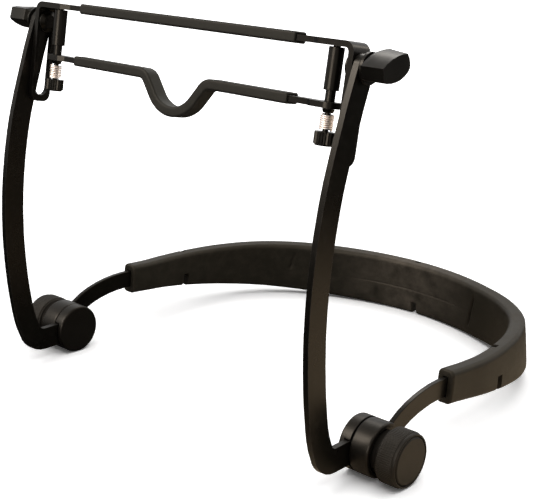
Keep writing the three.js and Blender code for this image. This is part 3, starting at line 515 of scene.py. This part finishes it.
# Creases of the pad's inner face: share along the band, its slant with the height, depth, half width as
# a share, and the level and reach of its deep part, where -1 and 1 are the pad's edges
PAD_CREASES = ((0.193, 0.024, 1.5, 0.0032, 0, 0.62), (-0.327, 0.012, 0.6, 0.004, 0.3, 0.35))
CREASE_STEPS = 24  # extra rings to each side of a crease
PAD_SEAM_H = -0.5  # height of the parting line over the band's centre line
PAD_SEAM_DEPTH, PAD_SEAM_W = 0.34, 0.3
PAD_SEAM_AT, PAD_SEAM_REACH = 0.01, 0.17  # middle and half length, as shares
PAD_CROWN = 0.22  # how far the pad's faces bulge


def pad_section(share, inset=0.0):
    """The pad's outline at a share of the band, as distances towards the neck and upwards."""
    half = pad_height(share) / 2
    points = round_box(PAD_T / 2 - inset, half - inset, PAD_CORNER_R - inset * 0.5, 7, 3, PAD_LEVELS)
    lean = pad_lean(share)
    shaped = []
    for near, high in points:
        level = high / half
        side = near / (PAD_T / 2)
        near += PAD_CROWN * side * (1 - level ** 2)
        if side > 0.8:
            for centre, slant, depth, width, mid_level, reach in PAD_CREASES:
                near -= depth * bell(share, centre + slant * level, width) * span(level, mid_level, reach)
            seam = bell(high, PAD_SEAM_H, PAD_SEAM_W) * span(share, PAD_SEAM_AT, PAD_SEAM_REACH)
            near -= PAD_SEAM_DEPTH * seam
        shaped.append((near * math.cos(lean) + high * math.sin(lean),
                       high * math.cos(lean) - near * math.sin(lean)))
    return shaped


def pad_cutter(share, width, low, high, outer=-9, inner=9):
    """A block through the pad's thickness or a part of it, for one of its slots or nicks."""
    place, along, near, up = BAND.frame(share)
    lean = pad_lean(share)
    near, up = near * math.cos(lean) - up * math.sin(lean), up * math.cos(lean) + near * math.sin(lean)
    corners = ((-1, low), (1, low), (1, high), (-1, high))
    rings = [[place + near * n + along * (a * width / 2) + up * h for a, h in corners] for n in (outer, inner)]
    cutter = bpy.data.objects.new("pad_cutter", skin("pad_cutter", rings))
    bpy.context.scene.collection.objects.link(cutter)
    return cutter


def cut(piece, cutters):
    """The piece without the cutters' space, as its new mesh."""
    for cutter in cutters:
        hole = piece.modifiers.new("hole", "BOOLEAN")
        hole.object = cutter
        hole.operation = "DIFFERENCE"
        hole.solver = "EXACT"
    graph = bpy.context.evaluated_depsgraph_get()
    mesh = bpy.data.meshes.new_from_object(piece.evaluated_get(graph))
    piece.modifiers.clear()
    piece.data = mesh
    for cutter in cutters:
        bpy.data.objects.remove(cutter)


PAD_LIP_R = 0.9  # how far the pad's ends are rounded over
PAD_CUTS = (
    # share and width of the slot in the lower edge, share and near side of the nick in the upper edge
    (-0.62, 3.2, -0.62, -3.1), (0, 3.2, 0, -2.9), (0.632, 4, 0.612, 0.2),
)
SLOT_H = 6.6
NICK_W, NICK_T, NICK_H = 3, 2.7, 1.3
PAST_EDGE = 5  # how far the cutters reach past the pad's edges
TUNNEL_STEPS = 110


def make_neck_pad():
    """The moulded pad with the band's tunnel through it, its bend slots and its nicks."""
    turned_over = lips(PAD_LIP_R, 4)
    rings = []
    for inset, setback in turned_over:
        rings.append(BAND.ring(-PAD_END_SHARE, pad_section(-PAD_END_SHARE, inset), setback))
    inner_end = PAD_END_SHARE - PAD_LIP_R / (BAND.marks[-1] / 2) * 1.4
    shares = [inner_end * (2 * k / PAD_STATIONS - 1) for k in range(PAD_STATIONS + 1)]
    for centre, slant, _, width, _, _ in PAD_CREASES:
        reach = 2 * width + slant
        shares += [centre + reach * step / CREASE_STEPS for step in range(-CREASE_STEPS, CREASE_STEPS + 1)]
    rings += [BAND.ring(share, pad_section(share)) for share in sorted(shares)]
    for inset, setback in reversed(turned_over):
        rings.append(BAND.ring(PAD_END_SHARE, pad_section(PAD_END_SHARE, inset), -setback))
    tunnel = round_box(STRIP_T / 2 + TUNNEL_FIT, STRIP_W / 2 + TUNNEL_FIT, 0.3, 7, 3, PAD_LEVELS)
    rings += [BAND.ring(PAD_END_SHARE * (1 - 2 * k / TUNNEL_STEPS), tunnel) for k in range(TUNNEL_STEPS + 1)]
    mesh = skin("neck_pad_rubber", rings, joined=True)
    pad = new_piece("neck_pad_rubber", mesh, "pad", "neck", "pad_rubber", "neck_pad")
    cutters = []
    for share, width, nick_share, nick_near in PAD_CUTS:
        low = -pad_height(share) / 2
        cutters.append(pad_cutter(share, width, low - PAST_EDGE, low + SLOT_H))
        high = pad_height(nick_share) / 2
        cutters.append(pad_cutter(nick_share, NICK_W, high - NICK_H, high + PAST_EDGE,
                                  nick_near, nick_near + NICK_T))
    cut(pad, cutters)
    round_edges(pad, 0.16, 50)
    even_shading(pad, 60)


# Rubber sleeves of the two jaws, in the clamp's frame

SLEEVE_W = 6.4
SLEEVE_H = 3.9
SLEEVE_HALF_L = 54.1
UPPER_LEFT_L = 54.9  # the sleeves reach a little further to the left
LOWER_LEFT_L = 55.7
JAW_BAR_W = 4.8
JAW_T = 2.1
SLEEVE_FIT = 0.2
SLEEVE_CORNER_R = 0.85
SLEEVE_LIP_R = 0.5
UPPER_JAW_Z = 6.65
LOWER_JAW_Z = -13.45
DIP_DEPTH = 12.1
DIP_SLOPE = math.radians(52)
DIP_SHOULDER_R = 5
DIP_BOTTOM_R = 13


def straight_line():
    return [(-UPPER_LEFT_L + (UPPER_LEFT_L + SLEEVE_HALF_L) * k / 40, UPPER_JAW_Z) for k in range(41)]


def half_dip(end_x):
    """One half of the lower jaw's centre line, from its end to the bottom of the dip."""
    bends = DIP_SHOULDER_R + DIP_BOTTOM_R
    slant = (DIP_DEPTH - bends * (1 - math.cos(DIP_SLOPE))) / math.sin(DIP_SLOPE)
    shoulder_x = bends * math.sin(DIP_SLOPE) + slant * math.cos(DIP_SLOPE)
    line = [(end_x + (shoulder_x - end_x) * k / 12, LOWER_JAW_Z) for k in range(12)]
    for k in range(17):
        turn = DIP_SLOPE * k / 16
        line.append((shoulder_x - DIP_SHOULDER_R * math.sin(turn),
                     LOWER_JAW_Z - DIP_SHOULDER_R * (1 - math.cos(turn))))
    foot_x = DIP_BOTTOM_R * math.sin(DIP_SLOPE)
    foot_z = LOWER_JAW_Z - DIP_DEPTH + DIP_BOTTOM_R * (1 - math.cos(DIP_SLOPE))
    top_x, top_z = line[-1]
    line += [(top_x + (foot_x - top_x) * k / 3, top_z + (foot_z - top_z) * k / 3) for k in (1, 2)]
    for k in range(25):
        turn = DIP_SLOPE * (1 - k / 24)
        line.append((DIP_BOTTOM_R * math.sin(turn),
                     LOWER_JAW_Z - DIP_DEPTH + DIP_BOTTOM_R * (1 - math.cos(turn))))
    return line


def dipped_line():
    """The lower jaw's centre line: straight, with a rounded dip in the middle."""
    left = [(-x, z) for x, z in half_dip(LOWER_LEFT_L)]
    return left + half_dip(SLEEVE_HALF_L)[-2::-1]


def make_sleeve(name, line, body, node):
    """A rubber tube along a line of places in the clamp's plane, with its ends rounded over."""
    def ring(k, points, setback=0.0):
        before = line[max(k - 1, 0)]
        after = line[min(k + 1, len(line) - 1)]
        along = Vector((after[0] - before[0], 0, after[1] - before[1])).normalized()
        up = Vector((-along.z, 0, along.x))
        place = Vector((line[k][0], 0, line[k][1])) + along * setback
        return [place + Vector((0, across, 0)) + up * high for across, high in points]

    def outside(inset=0.0):
        corner = SLEEVE_CORNER_R - inset * 0.5
        return round_box(SLEEVE_W / 2 - inset, SLEEVE_H / 2 - inset, corner, 6, 4, 3)

    last = len(line) - 1
    turned_over = lips(SLEEVE_LIP_R, 4)
    rings = [ring(0, outside(inset), setback) for inset, setback in turned_over]
    rings += [ring(k, outside()) for k in range(1, last)]
    rings += [ring(last, outside(inset), -setback) for inset, setback in reversed(turned_over)]
    tunnel = round_box(JAW_BAR_W / 2 + SLEEVE_FIT, JAW_T / 2 + SLEEVE_FIT, 0.2, 6, 4, 3)
    rings += [ring(last - k, tunnel) for k in range(last + 1)]
    mesh = skin(name, rings, CLAMP, joined=True)
    even_shading(new_piece(name, mesh, "sleeve", body, "sleeve_rubber", node))


# Springs round the jaw screws

SPRING_R = 2.08
SPRING_WIRE = 0.6
SPRING_TURNS = 7.5
SPRING_FOOT_Z = -21.9
SPRING_L = 5.6
SPRING_PITCH_CLOSED = SPRING_WIRE * 1.02  # one turn of its closed ends
SPRING_STEPS = 30  # places along one turn
WIRE_STEPS = 10
POST_X = 69.7


def make_spring(side, sign):
    """A compression spring with a closed turn at each end."""
    open_turns = SPRING_TURNS - 2
    rise_open = SPRING_L - SPRING_WIRE - 2 * SPRING_PITCH_CLOSED
    wire = [math.tau * j / WIRE_STEPS for j in range(WIRE_STEPS)]
    rings = []
    for k in range(int(SPRING_TURNS * SPRING_STEPS) + 1):
        turn = k / SPRING_STEPS
        low = min(turn, 1) * SPRING_PITCH_CLOSED
        open_share = min(max(turn - 1, 0), open_turns) / open_turns
        high = max(turn - 1 - open_turns, 0) * SPRING_PITCH_CLOSED
        z = SPRING_FOOT_Z + SPRING_WIRE / 2 + low + rise_open * open_share + high
        angle = math.tau * turn * sign
        outward = Vector((math.cos(angle), math.sin(angle), 0))
        centre = outward * SPRING_R + Vector((POST_X * sign, 0, z))
        rings.append([centre + outward * (SPRING_WIRE / 2 * math.cos(a))
                      + Vector((0, 0, SPRING_WIRE / 2 * math.sin(a))) for a in wire])
    name = "coil_spring_" + side
    spring = new_piece(name, skin(name, rings, CLAMP), "nickel", None, "nickel", "jaw_spring_" + side)
    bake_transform(spring)


# Joint knobs: a finely fluted grip round a recess for the badge

KNOB_TEETH = 84
KNOB_PROFILE = (
    # radius and distance from the knob's inner end, and how much of the fluting is there
    (4.5, 0, 0), (7.6, 0, 0), (8, 0.35, 0), (8, 3.5, 0), (9.55, 3.5, 0), (9.9, 3.75, 0), (9.9, 4.1, 0),
    (10.25, 4.15, 0.2), (10.6, 4.5, 1), (10.6, 7.4, 1), (10.6, 10.5, 1), (10.3, 10.85, 0.25), (10.15, 10.9, 0),
    (10.2, 11.0, 0), (10.15, 11.9, 0), (9.95, 12.2, 0), (9.6, 12.2, 0), (9.4, 12.0, 0), (9.4, 10.95, 0),
    (9.3, 10.9, 0), (4.5, 10.9, 0),
)
KNOB_FLUTE = 0.2
STEPS_PER_TOOTH = 4


def make_joint_knob(side, sign):
    """The knob turned from its profile, with fine flutes round its grip."""
    low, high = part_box("joint_knob_" + side)
    inner = (low[0] if sign > 0 else high[0]) / MM
    count = KNOB_TEETH * STEPS_PER_TOOTH
    rings = []
    for radius, distance, fluted in KNOB_PROFILE:
        ring = []
        for j in range(count):
            dip = KNOB_FLUTE * fluted * (0.5 - 0.5 * math.cos(math.tau * j / STEPS_PER_TOOTH))
            angle = math.tau * j / count
            ring.append((inner + sign * distance, JOINT.y / MM + (radius - dip) * math.cos(angle),
                         JOINT.z / MM + (radius - dip) * math.sin(angle)))
        rings.append(ring)
    name = "fluted_knob_" + side
    mesh = skin(name, rings, joined=True)
    knob = new_piece(name, mesh, "knob", side + "_joint_knob", "black_plastic", "joint_knob_" + side)
    even_shading(knob)


make_neck_pad()
make_sleeve("upper_rubber_sleeve", straight_line(), "clamp", "upper_jaw_sleeve")
make_sleeve("lower_rubber_sleeve", dipped_line(), "lower_jaw", "lower_jaw_sleeve")
for knob_side, knob_sign in (("left", -1), ("right", 1)):
    make_spring(knob_side, knob_sign)
    make_joint_knob(knob_side, knob_sign)


# Floor, light and world

# In reflections only, the floor is a painted reflection: a pale warm patch of paper beside the part, with painted
# dark round it
PAPER_AT = (0.20, -0.01, 0)
PAPER_R = 0.155
PAPER_FADE = 0.06
PAINTED_GLOSS_PAPER = (1.25, 0.98, 0.66)
GLOSS_PAINTED_DARK = (0.01, 0.01, 0.01)
# For the camera it is brighter than white, so that only the contact shadows stay
PAPER_WHITE = (1.5, 1.49, 1.485)
PAPER_SHADE = (1.46, 1.45, 1.445)
PLAIN_WHITE = (0.9, 0.9, 0.9)
FLOOR_SIZE = 6
FAR_FLOOR = (0.22, 0.8)  # where it fades into the background, in metres from the middle


def floor_finish():
    """White paper: soft shadows for the camera, and in the reflections a painted pale patch with painted dark
    round it.
    """
    f = Finish("pale_floor")
    seen = f.node("ShaderNodeLightPath", output="Is Camera Ray")
    mirrored = f.node("ShaderNodeLightPath", output="Is Glossy Ray")
    # Painted reflection: dark in the gloss beyond the patch, pale and warm within it
    painted_dark = mirrored * f.distance(PAPER_AT).within(PAPER_R - PAPER_FADE, PAPER_R + PAPER_FADE) * 0.99
    paper = f.mix(f.noise(4, 3, 0.6) * 0.25, PAPER_WHITE, PAPER_SHADE)
    colour = f.mix(mirrored, f.mix(seen, PLAIN_WHITE, paper), PAINTED_GLOSS_PAPER)
    matt = f.node("ShaderNodeBsdfDiffuse", {}, {"Color": f.mix(painted_dark, colour, GLOSS_PAINTED_DARK)})
    lift = 0.02 + f.distance((0, 0, 0)).within(*FAR_FLOOR) * 0.9
    glow = f.node("ShaderNodeEmission", {}, {"Color": (1, 0.99, 0.985, 1), "Strength": seen * lift})
    f.node_out(f.node("ShaderNodeAddShader", {}, {0: matt, 1: glow}))
    return f.material


def make_floor():
    mesh = bpy.data.meshes.new("floor")
    half = FLOOR_SIZE / 2
    corners = [(-half, -half, 0), (half, -half, 0), (half, half, 0), (-half, half, 0)]
    mesh.from_pydata(corners, [], [(0, 1, 2, 3)])
    mesh.materials.append(floor_finish())
    floor = bpy.data.objects.new("floor", mesh)
    bpy.context.scene.collection.objects.link(floor)


def area_light(name, at, aim, width, height, radiance, colour=(1, 1, 1)):
    """A rectangular lamp turned towards its aim, as bright to look at as a surface of that radiance."""
    data = bpy.data.lights.new(name, "AREA")
    data.shape = "RECTANGLE"
    data.size = width
    data.size_y = height
    data.energy = radiance * width * height * math.pi
    data.color = colour
    lamp = bpy.data.objects.new(name, data)
    lamp.location = at
    lamp.rotation_euler = (Vector(aim) - Vector(at)).to_track_quat("-Z", "Y").to_euler()
    bpy.context.scene.collection.objects.link(lamp)
    return lamp


ROOM_LIGHT = 0.25  # the world's share of the even light; the rest comes from the sheet overhead

# The softboxes show in the gloss only
SOFTBOXES = (
    # name, place, aim, width, height, strength, colour
    ("key_softbox", (-0.57, -0.85, 0.80), (0.08, -0.06, 0.03), 0.54, 0.55, 16.0, (1, 0.985, 0.96)),
    ("back_softbox", (0.40, 0.95, 0.85), (0.05, 0, 0.08), 0.5, 0.4, 4.5, (1, 0.93, 0.82)),
    ("top_softbox", (-0.05, -0.42, 1.15), (0.08, -0.06, 0.12), 0.4, 0.4, 5.0, (1, 0.98, 0.95)),
    ("front_strip", (0.03, -0.62, 0.19), (0.03, -0.08, 0.14), 0.28, 0.18, 11.0, (1, 0.98, 0.95)),
    ("rear_softbox", (-0.36, 0.47, 0.71), (0.08, -0.06, 0.12), 0.30, 0.30, 5.0, (1, 0.97, 0.92)),
)


def make_stage():
    make_floor()
    overhead = area_light("overhead_sheet", (0, 0.05, 1.3), (0, 0.05, 0), 2.2, 2.2, 1.6)
    overhead.visible_glossy = False
    for softbox in SOFTBOXES:
        area_light(*softbox).visible_diffuse = False
    world = bpy.data.worlds.new("studio")
    world.use_nodes = True
    bpy.context.scene.world = world
    f = Finish("studio", world.node_tree)
    mirror = f.node("ShaderNodeLightPath", output="Is Glossy Ray")
    glass = f.node("ShaderNodeLightPath", output="Is Transmission Ray")
    seen = f.node("ShaderNodeLightPath", output="Is Camera Ray")
    strength = ROOM_LIGHT + (seen + mirror + glass) * (1 - ROOM_LIGHT)
    sky = f.node("ShaderNodeBackground", {}, {"Color": (1, 1, 1, 1), "Strength": strength})
    out = world.node_tree.nodes.new("ShaderNodeOutputWorld")
    world.node_tree.links.new(sky.socket, out.inputs["Surface"])
    bpy.context.scene.view_settings.view_transform = "Standard"


make_stage()
